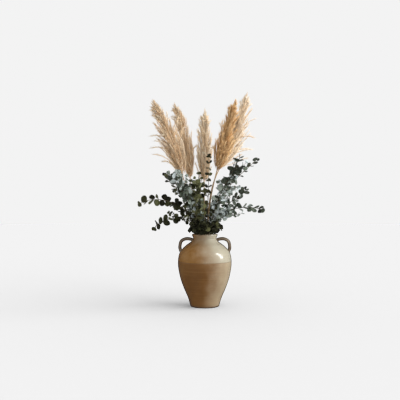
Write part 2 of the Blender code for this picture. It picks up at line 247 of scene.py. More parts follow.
class Patchwork:
    """Collects faces with their points and UVs, and makes one mesh of them."""

    def __init__(self):
        self.points, self.loops, self.sizes, self.uvs = [], [], [], []
        self.count = 0

    def add(self, points, faces_and_uvs):
        """points is (n, 3); each of faces_and_uvs is (faces, corners) and (faces, corners, 2)."""
        for faces, uvs in faces_and_uvs:
            self.loops.append((faces + self.count).reshape(-1))
            self.sizes.append(np.full(len(faces), faces.shape[1]))
            self.uvs.append(uvs.reshape(-1, 2))
        self.points.append(points)
        self.count += len(points)

    def piece(self, name, made_of, sharp=True):
        points = np.concatenate(self.points)
        loops = np.concatenate(self.loops)
        sizes = np.concatenate(self.sizes)
        mesh = bpy.data.meshes.new(name)
        mesh.vertices.add(len(points))
        mesh.vertices.foreach_set("co", points.astype(np.float32).reshape(-1))
        mesh.loops.add(len(loops))
        mesh.loops.foreach_set("vertex_index", loops.astype(np.int32))
        mesh.polygons.add(len(sizes))
        starts = np.concatenate(((0,), np.cumsum(sizes)[:-1]))
        mesh.polygons.foreach_set("loop_start", starts.astype(np.int32))
        mesh.update(calc_edges=True)
        layer = mesh.uv_layers.new(name="UVMap")
        layer.data.foreach_set("uv", np.concatenate(self.uvs).astype(np.float32).reshape(-1))
        mesh.shade_smooth()
        if sharp:
            mesh.set_sharp_from_angle(angle=SHARP_EDGE)
        mesh.materials.append(made_of)
        made = bpy.data.objects.new(name, mesh)
        bpy.context.scene.collection.objects.link(made)
        return made


def add_tubes(work, rings, along, tones=None):
    """Closed tubes from rings (tube, ring, side, xyz).

    `along` (tube, ring) is the V of each ring. U runs round the tube, or is the
    tube's own tone where `tones` gives one for each.
    """
    tubes, count, sides, _ = rings.shape
    index = np.arange(tubes * count * sides).reshape(tubes, count, sides)
    turned = np.roll(index, -1, axis=2)
    quads = np.stack((index[:, :-1], turned[:, :-1], turned[:, 1:], index[:, 1:]), axis=-1)
    if tones is None:
        left = np.broadcast_to(np.arange(sides) / sides, (tubes, sides))
        right = left + 1 / sides
    else:
        left = np.broadcast_to(np.asarray(tones)[:, None], (tubes, sides))
        right = left
    low = np.broadcast_to(along[:, :-1, None], quads.shape[:3])
    high = np.broadcast_to(along[:, 1:, None], quads.shape[:3])
    left = np.broadcast_to(left[:, None], quads.shape[:3])
    right = np.broadcast_to(right[:, None], quads.shape[:3])
    corners = ((left, low), (right, low), (right, high), (left, high))
    quad_uvs = np.stack([np.stack(pair, -1) for pair in corners], axis=-2)
    ends = []
    for ring, order in ((0, slice(None, None, -1)), (-1, slice(None))):
        face = index[:, ring, order]
        shade = np.stack((left[:, 0], np.broadcast_to(along[:, ring, None], face.shape)), -1)
        ends.append((face, shade))
    work.add(rings.reshape(-1, 3), [(quads.reshape(-1, 4), quad_uvs.reshape(-1, 4, 2)), *ends])


def rings_about(centres, across, over, radii, sides):
    """Round rings (..., ring, side, xyz) about centres, with a radius for each."""
    turn = math.tau * np.arange(sides) / sides
    flat = across[..., None, :] * np.cos(turn)[:, None] + over[..., None, :] * np.sin(turn)[:, None]
    return centres[..., None, :] + flat * np.asarray(radii)[..., None, None]


def frames_beside(ahead, hint):
    """Two unit vectors square to each direction, the second near the hint."""
    across = unit(np.cross(hint, ahead))
    return across, np.cross(ahead, across)


# ---- materials ----
class Paint:
    """A Principled material whose colour, roughness and bump come from nodes."""

    def __init__(self, name, **sockets):
        self.material = bpy.data.materials.new(name)
        self.material.use_nodes = True
        self.tree = self.material.node_tree
        self.shader = self.tree.nodes["Principled BSDF"]
        for socket, value in sockets.items():
            self.shader.inputs[socket.replace("_", " ")].default_value = value

    def node(self, kind, **settings):
        made = self.tree.nodes.new("ShaderNode" + kind)
        for name, value in settings.items():
            setattr(made, name, value)
        return made

    def link(self, source, target):
        self.tree.links.new(source, target)

    def put(self, socket, value):
        """Set a socket to a number or colour, or link it to another."""
        if isinstance(value, bpy.types.NodeSocket):
            self.link(value, socket)
        else:
            socket.default_value = value

    def place(self, kind="Object"):
        return self.node("TexCoord").outputs[kind]

    def parts(self, vector):
        split = self.node("SeparateXYZ")
        self.link(vector, split.inputs[0])
        return split.outputs

    def output(self, kind, which, inputs, **settings):
        """One output of a new node whose inputs are set or linked to what `inputs` gives."""
        made = self.node(kind, **settings)
        for socket, value in inputs.items():
            self.put(made.inputs[socket], value)
        return made.outputs[which]

    def stretched(self, vector, scale):
        return self.output("Mapping", 0, {"Vector": vector, "Scale": scale})

    def noise(self, vector, scale, detail=4, rough=0.5):
        inputs = {"Vector": vector, "Scale": scale, "Detail": detail, "Roughness": rough}
        return self.output("TexNoise", "Fac", inputs)

    def voronoi(self, vector, scale):
        return self.output("TexVoronoi", "Distance", {"Vector": vector, "Scale": scale})

    def ramp(self, value, *stops):
        """A colour ramp over (position, colour) stops."""
        made = self.node("ValToRGB")
        self.link(value, made.inputs[0])
        stop_list = made.color_ramp.elements
        while len(stop_list) < len(stops):
            stop_list.new(0.5)
        for element, (position, colour) in zip(stop_list, stops):
            element.position = position
            element.color = (*colour, 1)
        return made.outputs["Color"]

    def graph(self, value, low, high, to_low=0.0, to_high=1.0, smooth=True):
        inputs = dict(enumerate((value, low, high, to_low, to_high)))
        steps = "SMOOTHSTEP" if smooth else "LINEAR"
        return self.output("MapRange", 0, inputs, interpolation_type=steps)

    def maths(self, how, first, second=0.0):
        return self.output("Math", 0, {0: first, 1: second}, operation=how)

    def mix(self, share, first, second):
        made = self.node("Mix", data_type="RGBA")
        self.put(made.inputs["Factor"], share)
        sockets = [s for s in made.inputs if s.type == "RGBA"]
        for socket, value in zip(sockets, (first, second)):
            self.put(socket, (*value, 1) if isinstance(value, tuple) else value)
        return next(s for s in made.outputs if s.type == "RGBA")

    def tint(self, colour, second, value, *spans):
        """The colour with as much of a second one as the value's graph over the spans says."""
        return self.mix(self.graph(value, *spans), colour, second)

    def bump(self, height, strength, distance):
        inputs = {"Height": height, "Strength": strength, "Distance": distance}
        return self.output("Bump", 0, inputs)

    def finish(self, colour, roughness, normal=None):
        self.link(colour, self.shader.inputs["Base Color"])
        self.put(self.shader.inputs["Roughness"], roughness)
        if normal is not None:
            self.link(normal, self.shader.inputs["Normal"])
        return self.material


# The height of the upper glaze's straight lower edge.
GLAZE_LINE = 0.1865


def stoneware():
    """Tan glaze poured over the shoulder, thinner satin brown below its straight edge, with a painted sheen
    towards the right.
    """
    paint = Paint("glazed_stoneware", Specular_IOR_Level=0.75, Coat_Weight=0.4, Coat_Roughness=0.10)
    place = paint.place()
    x, _, z = paint.parts(place)
    cloud = paint.noise(place, 9, 5, 0.55)
    rings = paint.noise(paint.stretched(place, (6, 6, 260)), 1, 4, 0.6)
    fine_rings = paint.noise(paint.stretched(place, (3, 3, 900)), 1, 2, 0.5)
    runs = paint.noise(paint.stretched(place, (60, 60, 5)), 1, 3, 0.6)
    specks = paint.voronoi(place, 260)

    stops = (0.30, (0.175, 0.073, 0.013)), (0.52, (0.235, 0.108, 0.023)), (0.72, (0.31, 0.165, 0.052))
    upper = paint.ramp(cloud, *stops)
    upper = paint.tint(upper, (0.14, 0.058, 0.012), runs, 0.52, 0.72, 0, 0.40)
    stops = (0.28, (0.125, 0.046, 0.003)), (0.50, (0.175, 0.068, 0.004)), (0.75, (0.230, 0.103, 0.012))
    lower = paint.ramp(cloud, *stops)
    lower = paint.tint(lower, (0.29, 0.15, 0.040), rings, 0.46, 0.70, 0, 0.28)
    lower = paint.tint(lower, (0.090, 0.035, 0.004), fine_rings, 0.5, 0.72, 0, 0.22)

    # Painted sheen of the light from the right: both glazes are painted greyer and paler towards the right,
    # the upper one most of all high up.
    painted_sheen_side = paint.maths("ADD", x, paint.graph(cloud, 0.3, 0.7, -0.02, 0.02))
    over_line = paint.maths("SUBTRACT", z, GLAZE_LINE)
    upper_painted_sheen_side = paint.maths("ADD", painted_sheen_side, paint.maths("MULTIPLY", over_line, 0.30))
    upper = paint.tint(upper, (0.42, 0.39, 0.30), upper_painted_sheen_side, -0.045, 0.075, 0, 0.92)
    lower = paint.tint(lower, (0.42, 0.35, 0.235), painted_sheen_side, -0.015, 0.10, 0, 0.80)

    uneven = paint.maths("SUBTRACT", paint.noise(place, 14, 2), 0.5)
    wander = paint.maths("MULTIPLY", uneven, 0.003)
    level = paint.maths("SUBTRACT", z, wander)
    above = paint.graph(level, GLAZE_LINE - 0.0006, GLAZE_LINE + 0.0006)
    colour = paint.mix(above, lower, upper)
    edge = paint.graph(paint.maths("ABSOLUTE", over_line), 0.0004, 0.0026, 0.45, 0)
    colour = paint.mix(edge, colour, (0.15, 0.085, 0.036))
    colour = paint.tint(colour, (0.07, 0.04, 0.02), specks, 0.05, 0.12, 0.55, 0)
    foot = paint.graph(z, 0.002, 0.009, 0.75, 0)
    colour = paint.mix(foot, colour, (0.12, 0.075, 0.04))

    gloss = paint.graph(above, 0, 1, 0.42, 0.20)
    rough = paint.maths("ADD", gloss, paint.graph(cloud, 0.3, 0.7, -0.05, 0.07))
    ridges = paint.maths("MULTIPLY", rings, 0.6)
    height = paint.maths("ADD", ridges, paint.maths("MULTIPLY", cloud, 0.4))
    return paint.finish(colour, rough, paint.bump(height, 0.35, 0.0012))


def handle_glaze():
    """Dark brown where the glaze is thin, with the lines of the pull along the strap."""
    paint = Paint("handle_stoneware", Specular_IOR_Level=0.5, Coat_Weight=0.2, Coat_Roughness=0.15)
    place = paint.place()
    cloud = paint.noise(place, 45, 4, 0.6)
    pulls = paint.noise(paint.stretched(place, (90, 900, 90)), 1, 3)
    stops = (0.30, (0.095, 0.060, 0.034)), (0.55, (0.185, 0.140, 0.095)), (0.78, (0.30, 0.25, 0.18))
    colour = paint.ramp(cloud, *stops)
    colour = paint.tint(colour, (0.08, 0.055, 0.035), pulls, 0.45, 0.7, 0, 0.4)
    rough = paint.graph(cloud, 0.3, 0.7, 0.24, 0.42)
    return paint.finish(colour, rough, paint.bump(pulls, 0.3, 0.0008))


def dry_foam():
    paint = Paint("dry_foam", Specular_IOR_Level=0.2)
    place = paint.place()
    cells = paint.voronoi(place, 900)
    cloud = paint.noise(place, 60, 3)
    stops = (0.0, (0.035, 0.045, 0.022)), (0.5, (0.10, 0.125, 0.065)), (1.0, (0.16, 0.18, 0.10))
    colour = paint.ramp(cells, *stops)
    colour = paint.tint(colour, (0.13, 0.11, 0.06), cloud, 0.4, 0.7, 0, 0.4)
    rough = paint.graph(cells, 0, 1, 0.98, 0.85)
    return paint.finish(colour, rough, paint.bump(cells, 0.9, 0.0012))


def cane_skin():
    """Straw, streaked along the cane and browner in patches."""
    paint = Paint("pampas_cane", Specular_IOR_Level=0.35)
    place = paint.place()
    streaks = paint.noise(paint.stretched(place, (700, 700, 14)), 1, 3)
    patches = paint.noise(place, 25, 3)
    stops = (0.32, (0.25, 0.15, 0.07)), (0.52, (0.42, 0.28, 0.14)), (0.70, (0.60, 0.45, 0.27))
    colour = paint.ramp(streaks, *stops)
    colour = paint.tint(colour, (0.30, 0.16, 0.06), patches, 0.45, 0.7, 0, 0.45)
    rough = paint.graph(streaks, 0.3, 0.7, 0.45, 0.7)
    return paint.finish(colour, rough, paint.bump(streaks, 0.4, 0.0004))


# Each tint's colour in the depth of the plume, over most of it, and at its palest.
PLUME_TINTS = {
    "fawn": ((0.50, 0.27, 0.11), (0.96, 0.69, 0.41), (1.0, 0.88, 0.69)),
    "sand": ((0.54, 0.31, 0.13), (1.0, 0.77, 0.50), (1.0, 0.91, 0.75)),
    "amber": ((0.28, 0.12, 0.032), (0.70, 0.40, 0.16), (0.90, 0.67, 0.38)),
    "cream": ((0.42, 0.23, 0.10), (0.85, 0.64, 0.41), (0.94, 0.82, 0.65)),
}


def plume_fluff(tint):
    """Fibres: U is each fibre's own tone and V runs from its root to its tip."""
    paint = Paint("pampas_plume_" + tint, Specular_IOR_Level=0.12, Sheen_Weight=0.08, Sheen_Roughness=0.5)
    tone, along, _ = paint.parts(paint.place("UV"))
    deep, middle, pale = PLUME_TINTS[tint]
    colour = paint.ramp(tone, (0.02, deep), (0.42, middle), (0.95, pale))
    colour = paint.tint(colour, deep, along, 0.0, 0.45, 0.30, 0)
    colour = paint.tint(colour, pale, along, 0.5, 1.0, 0, 0.30)
    return paint.finish(colour, paint.graph(along, 0, 1, 0.75, 0.9))


LEAF_TILES = 8
LEAF_TONES = (0.02, 0.33, 0.66, 0.98)
LEAF_FACES = {
    "olive": ((0.011, 0.011, 0.003), (0.036, 0.037, 0.011), (0.088, 0.090, 0.030), (0.165, 0.170, 0.072)),
    "silver": ((0.012, 0.015, 0.007), (0.058, 0.072, 0.045), (0.220, 0.255, 0.210), (0.560, 0.620, 0.625)),
}
LEAF_BACKS = {
    "olive": ((0.028, 0.030, 0.010), (0.070, 0.074, 0.027), (0.125, 0.130, 0.058), (0.20, 0.21, 0.11)),
    "silver": ((0.036, 0.044, 0.027), (0.140, 0.168, 0.125), (0.320, 0.365, 0.320), (0.560, 0.620, 0.615)),
}


def leaf_skin(tint):
    """Waxy leaves. Each leaf has one tile of the UV square: faces below half height, backs above.

    The four rows of tiles in each half go from the darkest leaves to the palest.
    """
    paint = Paint("eucalyptus_" + tint, Specular_IOR_Level=0.3, Sheen_Weight=0.06, Sheen_Roughness=0.4)
    uv = paint.place("UV")
    u, v, _ = paint.parts(uv)
    tile_u = paint.maths("MULTIPLY", u, LEAF_TILES)
    tile_v = paint.maths("MULTIPLY", v, LEAF_TILES)
    along = paint.maths("FRACT", tile_u)
    beside = paint.maths("ABSOLUTE", paint.maths("SUBTRACT", paint.maths("FRACT", tile_v), 0.5))
    row = paint.maths("MODULO", paint.maths("FLOOR", tile_v), LEAF_TILES // 2)
    corner = {0: paint.maths("FLOOR", tile_u), 1: paint.maths("FLOOR", tile_v)}
    corner = paint.output("CombineXYZ", 0, corner)
    own = paint.output("TexWhiteNoise", "Value", {"Vector": corner}, noise_dimensions="2D")
    cloud = paint.noise(paint.stretched(uv, (30, 30, 1)), 1, 4, 0.6)
    tone = paint.maths("MULTIPLY", row, 1 / 3)
    tone = paint.maths("ADD", tone, paint.graph(own, 0, 1, -0.12, 0.12, smooth=False))
    tone = paint.maths("ADD", tone, paint.graph(cloud, 0.3, 0.7, -0.10, 0.10))
    face = paint.ramp(tone, *zip(LEAF_TONES, LEAF_FACES[tint]))
    back = paint.ramp(tone, *zip(LEAF_TONES, LEAF_BACKS[tint]))
    colour = paint.tint(face, back, v, 0.499, 0.501)
    slant = paint.maths("SUBTRACT", along, beside)
    side_veins = paint.maths("SINE", paint.maths("MULTIPLY", slant, 52))
    midrib = paint.graph(beside, 0.008, 0.030, 1, 0)
    veins = paint.maths("MAXIMUM", midrib, paint.graph(side_veins, 0.80, 1.0, 0, 0.40))
    colour = paint.mix(paint.maths("MULTIPLY", veins, 0.30), colour, LEAF_BACKS[tint][2])
    rim = paint.graph(beside, 0.36, 0.45, 0, 0.40)
    colour = paint.mix(rim, colour, LEAF_FACES[tint][0])
    rough = paint.graph(cloud, 0.3, 0.7, 0.46, 0.66)
    return paint.finish(colour, rough, paint.bump(veins, 0.25, 0.0003))


def twig_bark():
    paint = Paint("eucalyptus_stem", Specular_IOR_Level=0.3)
    place = paint.place()
    patches = paint.noise(place, 60, 3)
    grain = paint.noise(paint.stretched(place, (500, 500, 60)), 1, 3)
    stops = (0.35, (0.055, 0.040, 0.022)), (0.55, (0.110, 0.085, 0.045)), (0.72, (0.17, 0.13, 0.08))
    colour = paint.ramp(patches, *stops)
    colour = paint.tint(colour, (0.04, 0.03, 0.018), grain, 0.45, 0.7, 0, 0.4)
    rough = paint.graph(grain, 0.3, 0.7, 0.55, 0.8)
    return paint.finish(colour, rough, paint.bump(grain, 0.4, 0.0003))


# ---- vase ----
LATHE_SEGMENTS = 160
LATHE_STEP = 0.0013
RIDGE_PITCH = 0.0046
RIDGE_DEPTH = 0.00015
# The upper glaze stands this much proud of the wall, up to this far below the rim.
GLAZE_THICKNESS = 0.00022
RIM_DEPTH = 0.012


def wall_outline():
    """The outer wall and the inner wall as fine (radius, height) rows, foot to rim and back."""
    outer = curve_through(OUTER_WALL, 400)
    ahead = directions(outer)
    inner = outer + np.stack((-ahead[:, 1], ahead[:, 0]), axis=1) * WALL
    inner = inner[outer[:, 1] > FLOOR_THICKNESS + 2 * WALL][::-1]
    return np.vstack((FOOT, outer, curve_through(RIM, 48), inner, FLOOR))


def evened(rows, step):
    """The same line with its points a step apart."""
    at = lengths_along(rows)
    where = np.linspace(0, at[-1], int(at[-1] / step))
    return np.stack([np.interp(where, at, rows[:, i]) for i in range(2)], axis=1)


def throwing_ridges(turn, height, radius):
    """How far the potter's fingers left the wall proud: one shallow spiral, stronger low down."""
    climb = height / RIDGE_PITCH - turn / math.tau
    uneven = 0.45 * np.sin(math.tau * 0.43 * height / RIDGE_PITCH + 1.3)
    spiral = np.sin(math.tau * climb) + uneven
    slow = 0.5 + 0.5 * np.sin(height * 95 + 0.7)
    below = np.clip((GLAZE_LINE + 0.004 - height) / 0.012, 0, 1)
    above_foot = np.clip((height - 0.012) / 0.02, 0, 1)
    depth = 0.00001 + RIDGE_DEPTH * below * slow
    wobble = 0.00035 * np.sin(2 * turn + 9 * height) + 0.00020 * np.sin(3 * turn + 31 * height)
    glaze = GLAZE_THICKNESS * np.clip((height - GLAZE_LINE) / 0.0008, 0, 1)
    return above_foot * (spiral * depth + glaze) + wobble * above_foot * (radius > NECK_RADIUS)


def make_vase(glaze):
    """The whole wall, inside and out, turned about the vase's axis."""
    outline = evened(wall_outline(), LATHE_STEP)
    turn = math.tau * np.arange(LATHE_SEGMENTS) / LATHE_SEGMENTS
    radius = np.repeat(outline[:, :1], LATHE_SEGMENTS, axis=1)
    height = np.repeat(outline[:, 1:], LATHE_SEGMENTS, axis=1)
    rim_row = int(np.argmax(outline[:, 1]))
    outside = (np.arange(len(outline)) <= rim_row)[:, None]
    ridges = throwing_ridges(turn[None], height, radius)
    radius = radius + np.where(outside & (height < RIM_HEIGHT - RIM_DEPTH), ridges, 0)
    rings = np.stack((radius * np.cos(turn), radius * np.sin(turn), height), axis=-1)
    work = Patchwork()
    add_tubes(work, rings[None], np.linspace(0, 1, len(outline))[None])
    vase = work.piece("vase_wall", glaze)
    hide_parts("vase_body")
    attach(vase, "vase")


HANDLE_RINGS = 72
HANDLE_SIDES = 28
# A height inside the handle's loop, which its thumb groove faces away from.
HANDLE_LOOP_HEIGHT = 0.235
THUMB_GROOVE = 0.0011
HANDLE_ROUNDNESS = 0.85


def make_handle(name, side, glaze):
    """A pulled strap with a shallow thumb groove, pressed out flat where it joins the wall."""
    route = curve_through(HANDLE_ROUTE, HANDLE_RINGS)
    centres = np.stack((side * route[:, 0], np.zeros(HANDLE_RINGS), route[:, 1]), axis=1)
    ahead = directions(centres)
    across, over = frames_beside(ahead, np.cross(ahead, (0.0, 1.0, 0.0)))
    from_loop = centres - (0, 0, HANDLE_LOOP_HEIGHT)
    outwards = np.sign(np.sum(over * from_loop, axis=1))[:, None]
    along = np.linspace(-1, 1, HANDLE_RINGS)
    end = np.abs(along)[:, None]
    turn = math.tau * np.arange(HANDLE_SIDES) / HANDLE_SIDES
    waver = 0.012 * np.sin(9 * along)[:, None]
    width = 0.5 * HANDLE_WIDTH * (1.00 + 0.34 * end**7 + waver)
    waver = 0.02 * np.sin(13 * along + 1)[:, None]
    thick = 0.5 * HANDLE_THICKNESS * (1.12 + 0.30 * end**9 + waver)
    flat = np.sign(np.cos(turn)) * np.abs(np.cos(turn)) ** HANDLE_ROUNDNESS
    tall = np.sign(np.sin(turn)) * np.abs(np.sin(turn)) ** HANDLE_ROUNDNESS
    groove = THUMB_GROOVE * np.exp(-((flat / 0.32) ** 2)) * (np.sin(turn) > 0) * (1 - end**6)
    wide = across[:, None] * (width * flat)[..., None]
    deep = (over * outwards)[:, None] * (thick * tall - groove)[..., None]
    rings = centres[:, None] + wide + deep
    if side * outwards[HANDLE_RINGS // 2, 0] < 0:
        rings = rings[:, ::-1]
    work = Patchwork()
    add_tubes(work, rings[None], np.linspace(0, 1, HANDLE_RINGS)[None])
    handle = work.piece(name + "_strap", glaze)
    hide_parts(name)
    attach(handle, "vase")


# ---- pampas ----
CANE_SIDES = 12
CANE_RINGS = 90
CANE_TAPER_START = 0.35
# A cane's joints, as shares of its length, the length of the sheath over each, and how soon the
# sheath begins and ends.
CULM_NODES = (0.50, 0.74)
SHEATH_LENGTH = 0.16
SHEATH_EDGE = 0.02


def cane_path(cane):
    """A cane's points from the bottom of its hole to the plume, its outward way and its top's."""
    entry, ahead, out = straight_run(cane.azimuth, cane.ring, cane.rake)
    bottom = on_run(entry, ahead, FOAM_TOP - CANE_HOLE_DEPTH)
    start = on_run(entry, ahead, STRAIGHT_TOP)
    end = out * cane.reach + UP * cane.height
    top = tilted(out, cane.lean)
    curve = bend(start, ahead, end, top, BEND_POINTS)
    return np.vstack((bottom, on_run(entry, ahead, FOAM_TOP), curve)), out, top


def make_cane(cane, straw):
    """A thin cane with a swollen ring at each joint and a sheath round the length above it."""
    path, out, _ = cane_path(cane)
    at = lengths_along(path)
    share = np.linspace(0, 1, CANE_RINGS)
    centres = sample(path, at / at[-1], share)
    ahead = directions(centres)
    across, over = frames_beside(ahead, np.cross(UP, out)[None])
    thinning = np.clip((share - CANE_TAPER_START) / (1 - CANE_TAPER_START), 0, 1)
    radii = CANE_RADIUS + (CANE_TIP_RADIUS - CANE_RADIUS) * thinning
    for node in CULM_NODES:
        radii = radii * (1 + 0.16 * np.exp(-(((share - node) / 0.008) ** 2)))
        begun = np.clip((share - node) / SHEATH_EDGE, 0, 1)
        going = np.clip((node + SHEATH_LENGTH - share) / SHEATH_EDGE, 0, 1)
        radii = radii * (1 + 0.05 * begun * going)
    work = Patchwork()
    add_tubes(work, rings_about(centres, across, over, radii, CANE_SIDES)[None], share[None])
    piece = work.piece(cane.name + "_straw", straw)
    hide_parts(cane.name + "_cane")
    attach(piece, cane.name)


def swell(along):
    """A plume's radius as a share of its widest, which is at PLUME_PEAK of its length."""
    along = np.clip(along, 0.0001, 0.9999)
    rise = (along / PLUME_PEAK) ** PLUME_RISE
    return rise * ((1 - along) / (1 - PLUME_PEAK)) ** (PLUME_RISE * (1 - PLUME_PEAK) / PLUME_PEAK)


PLUME_SEED = 100
SPINE_POINTS = 80
PLUME_FULLNESS = 1.22
# The share of a plume's length over which it draws in to a point.
PLUME_POINT = 0.22
# How deep a plume is from front to back, as a share of its width.
PLUME_DEPTH = 0.75
TUFTS = 170
TUFT_RINGS = 10
TUFT_RADIUS = 0.00042
TUFT_SAG = 0.012
# The share of a plume's length over which tufts begin.
TUFTED = 0.88
HAIRS_EACH = 250
HAIR_LENGTH = 0.023
HAIR_RADIUS = 0.00024
LOOSE_HAIRS = 0.35


def add_needles(work, root, aim, hint, length, radius, tone):
    """Straight tapered hairs, each a closed spike of four triangles."""
    count = len(root)
    across, over = frames_beside(aim, hint)
    turn = math.tau * np.arange(3) / 3
    ring = across[:, None] * np.cos(turn)[:, None] + over[:, None] * np.sin(turn)[:, None]
    foot = root[:, None] + ring * radius[:, None, None]
    points = np.concatenate((foot, (root + aim * length[:, None])[:, None]), axis=1)
    index = 4 * np.arange(count)[:, None, None]
    faces = index + np.array(((0, 1, 3), (1, 2, 3), (2, 0, 3), (2, 1, 0)))
    along = np.array(((0, 0, 1), (0, 0, 1), (0, 0, 1), (0, 0, 0)), float)
    along = np.broadcast_to(along, faces.shape)
    uvs = np.stack((np.broadcast_to(tone[:, None, None], faces.shape), along), axis=-1)
    work.add(points.reshape(-1, 3), [(faces.reshape(-1, 3), uvs.reshape(-1, 3, 2))])


def brush(work, lines, frames, finish, tone, rng):
    """Fine silky hairs all along each tuft, which lie closer to it at the plume's tip."""
    tangent, across, over = frames
    count = len(lines)
    hairs = HAIRS_EACH * count
    parent = np.repeat(np.arange(count), HAIRS_EACH)
    where = rng.uniform(0.04, 1.0, hairs) ** 0.85
    place = where * (TUFT_RINGS - 1)
    low = np.minimum(place.astype(int), TUFT_RINGS - 2)
    share = (place - low)[:, None]
    root = lines[parent, low] * (1 - share) + lines[parent, low + 1] * share
    along = tangent[parent, low]
    round_it = rng.uniform(0, math.tau, hairs)[:, None]
    loose = rng.uniform(0, 1, hairs) < LOOSE_HAIRS
    flare = np.where(loose, rng.uniform(10, 42, hairs), np.abs(rng.normal(12, 7, hairs)))
    at_tip = finish[parent] ** 8
    flare = np.radians(flare * (1.15 - 0.60 * where) * (1 - 0.5 * at_tip))[:, None]
    outward = across[parent, low] * np.cos(round_it) + over[parent, low] * np.sin(round_it)
    aim = unit(along * np.cos(flare) + outward * np.sin(flare))
    length = HAIR_LENGTH * rng.uniform(0.55, 1.15, hairs) * (1 - 0.3 * at_tip)
    thickness = HAIR_RADIUS * rng.uniform(0.7, 1.2, hairs)
    hair_tone = tone[parent] * (0.62 + 0.38 * where) + rng.normal(0, 0.07, hairs)
    add_needles(work, root, aim, outward, length, thickness, np.clip(hair_tone, 0.01, 0.99))


def make_plume(cane, seed, fluff):
    """A rachis with spiralled tufts that rise and lean outwards, each a brush of fine silky hairs."""
    rng = np.random.default_rng(seed)
    path, out, top = cane_path(cane)
    base = path[-1]
    tip = base + tilted(out, cane.lean + cane.nod) * cane.plume
    tip_way = tilted(out, cane.lean + 2 * cane.nod)
    spine = bend(base, top, tip, tip_way, SPINE_POINTS, handles=(0.33, 0.33))
    at = lengths_along(spine) / lengths_along(spine)[-1]
    ahead = directions(spine)
    side, lift = frames_beside(ahead, np.cross(UP, out)[None])
    work = Patchwork()
    rachis = rings_about(spine, side, lift, CANE_TIP_RADIUS * (1.02 - 0.85 * at), 6)
    add_tubes(work, rachis[None], at[None], tones=np.array((0.25,)))

    count = TUFTS + cane.wisps
    wisp = np.arange(count) >= TUFTS
    order = np.clip((np.arange(count) + rng.uniform(0, 1, count)) / TUFTS, 0, 1)
    start = np.where(wisp, rng.uniform(0.05, 0.55, count), TUFTED * order**1.35)
    reach = (0.42 - 0.20 * start) * rng.uniform(0.35, 1.1, count)
    finish = np.minimum(start + reach, 1.0 - 0.14 * rng.uniform(0, 1, count))
    spread = rng.uniform(0.08, 1.08, count) ** 0.6
    spread = np.where(wisp, rng.uniform(1.25, 1.75, count), spread)
    turn = GOLDEN * np.arange(count) + rng.uniform(-0.5, 0.5, count)
    turn = np.where(wisp, math.pi * (np.arange(count) % 2) + rng.normal(0, 0.4, count), turn)
    step = np.linspace(0, 1, TUFT_RINGS)
    axial = start[:, None] + (finish - start)[:, None] * step
    point = np.sqrt(np.clip((1 - finish) / PLUME_POINT, 0, 1))
    width = cane.radius * PLUME_FULLNESS * swell(finish) * point * spread
    width = np.minimum(width, np.where(wisp, 0.9, 0.42) * (finish - start) * cane.plume)
    radial = width[:, None] * step ** (0.55 + 0.6 * start[:, None])
    angle = turn[:, None] + 0.20 * rng.normal(0, 1, count)[:, None] * step**2
    sideways = sample(side, at, axial) * np.cos(angle)[..., None]
    upwards = sample(lift, at, axial) * np.sin(angle)[..., None]
    way = (sideways + upwards) * (1, PLUME_DEPTH, 1)
    sag = UP * (TUFT_SAG * spread[:, None] ** 2 * step**2.5)[..., None]
    lines = sample(spine, at, axial) + way * radial[..., None] - sag
    tangent = unit(np.gradient(lines, axis=1))
    across, over = frames_beside(tangent, way)
    tone = 0.40 + 0.32 * np.clip(spread, 0, 1) + rng.normal(0, 0.15, count)
    tone = np.clip(tone, 0.02, 0.98)
    thin = TUFT_RADIUS * (1.05 - 0.85 * step) * np.ones((count, 1))
    stems = rings_about(lines, across, over, thin, 3)
    add_tubes(work, stems, np.broadcast_to(step, (count, TUFT_RINGS)) * 0.6, tones=tone * 0.7)
    brush(work, lines, (tangent, across, over), finish, tone, rng)
    piece = work.piece(cane.name + "_fluff", fluff, sharp=False)
    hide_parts(cane.name + "_plume")
    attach(piece, cane.name)


# ---- eucalyptus ----
TWIG_SEED = 300
LEAF_ROWS = 10
LEAF_COLUMNS = 9
LEAF_THICKNESS = 0.0005
# How far a leaf starts from the middle of its twig.
LEAF_FOOT = 0.0012
LEAVES_FACE_UP = 0.75
# The edge left free all round a leaf's tile of the UV square.
TILE_EDGE = 0.03
# No leaf hangs lower than this within the lip, where it would cut into the vase.
LIP_RADIUS = RIM_RADIUS + 0.004
LIP_HEIGHT = RIM_HEIGHT + 0.002


